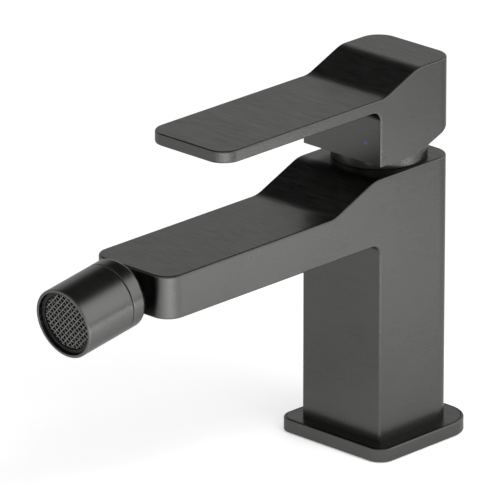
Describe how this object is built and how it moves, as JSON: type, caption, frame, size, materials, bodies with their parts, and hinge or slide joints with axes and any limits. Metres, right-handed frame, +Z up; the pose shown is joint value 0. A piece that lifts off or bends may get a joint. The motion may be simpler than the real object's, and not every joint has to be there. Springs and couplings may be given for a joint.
{
  "type": "bidet mixer",
  "caption": "Single-lever bidet mixer: square column on a base plate, flat spout with a swivelling ball-joint outlet, and a flat lever that lifts and turns.",
  "frame": {"origin": "middle of the column on the deck, at the underside of the base gasket", "axes": "+Z up out of the deck, the spout and the lever point to -Y, +X is the cold side"},
  "size_m": [0.054, 0.197, 0.1495],
  "materials": {
    "gunmetal_brass": "brushed dark gunmetal coating over brass",
    "gunmetal_zinc": "brushed dark gunmetal coating over a zinc casting",
    "gunmetal_cap": "dark gunmetal plastic cap",
    "bare_brass": "turned bare brass",
    "steel": "stainless steel",
    "ceramic": "lapped alumina ceramic",
    "white_plastic": "moulded white acetal",
    "dark_plastic": "moulded dark acetal",
    "red_plastic": "moulded red acetal",
    "blue_enamel": "glossy blue plug",
    "red_enamel": "glossy red plug",
    "rubber": "black moulded rubber"
  },
  "bodies": {
    "root": {"base_gasket": "rubber", "base_plate": "gunmetal_brass", "spout_body": "gunmetal_brass", "inlet_seals": "rubber", "cartridge_base": "white_plastic", "fixed_disc": "ceramic", "cartridge_housing": "white_plastic", "housing_o_ring": "rubber", "limit_ring": "red_plastic", "cartridge_nut": "bare_brass", "neck_collar": "gunmetal_brass", "ball_stud": "gunmetal_brass", "stud_seal": "rubber"},
    "rotor": {"stem_carrier": "white_plastic", "pivot_pin": "steel"},
    "handle": {"stem": "bare_brass", "lever": "gunmetal_zinc", "lever_set_screw": "steel", "screw_plug": "gunmetal_cap", "cold_dot": "blue_enamel", "hot_dot": "red_enamel"},
    "valve_disc": {"moving_disc": "ceramic", "disc_carrier": "dark_plastic"},
    "outlet_seat": {"seat_liner": "white_plastic"},
    "outlet_ring": {"ball_seal": "rubber"},
    "outlet": {"swivel_nut": "gunmetal_brass", "aerator_sleeve": "gunmetal_brass", "aerator_gasket": "rubber", "aerator_cage": "dark_plastic", "aerator_diffuser": "dark_plastic", "inner_screen": "steel", "aerator_screen": "steel"}
  },
  "joints": [
    {"name": "lever_turn", "type": "hinge", "parent": "root", "child": "rotor", "pos_m": [0, 0, 0.1075], "axis": [0, 0, 1], "range_deg": [-45, 45]},
    {"name": "lever_lift", "type": "hinge", "parent": "rotor", "child": "handle", "pos_m": [0, 0, 0.1075], "axis": [-1, 0, 0], "range_deg": [0, 21]},
    {"name": "disc_slide", "type": "slide", "parent": "rotor", "child": "valve_disc", "axis": [0, 1, 0], "range_m": [-0.005, 0]},
    {"name": "outlet_pitch", "type": "hinge", "parent": "root", "child": "outlet_seat", "pos_m": [0, -0.1428, 0.0923], "axis": [-1, 0, 0], "range_deg": [-3.9, 22.1]},
    {"name": "outlet_yaw", "type": "hinge", "parent": "outlet_seat", "child": "outlet_ring", "pos_m": [0, -0.1428, 0.0923], "axis": [0, -0.1582, 0.9874], "range_deg": [-13, 13]},
    {"name": "outlet_spin", "type": "hinge", "parent": "outlet_ring", "child": "outlet", "pos_m": [0, -0.1428, 0.0923], "axis": [0, -0.9874, -0.1582], "continuous": true}
  ],
  "couplings": [
    {"joint": "disc_slide", "follows": "lever_lift", "m_per_rad": -0.013425}
  ]
}
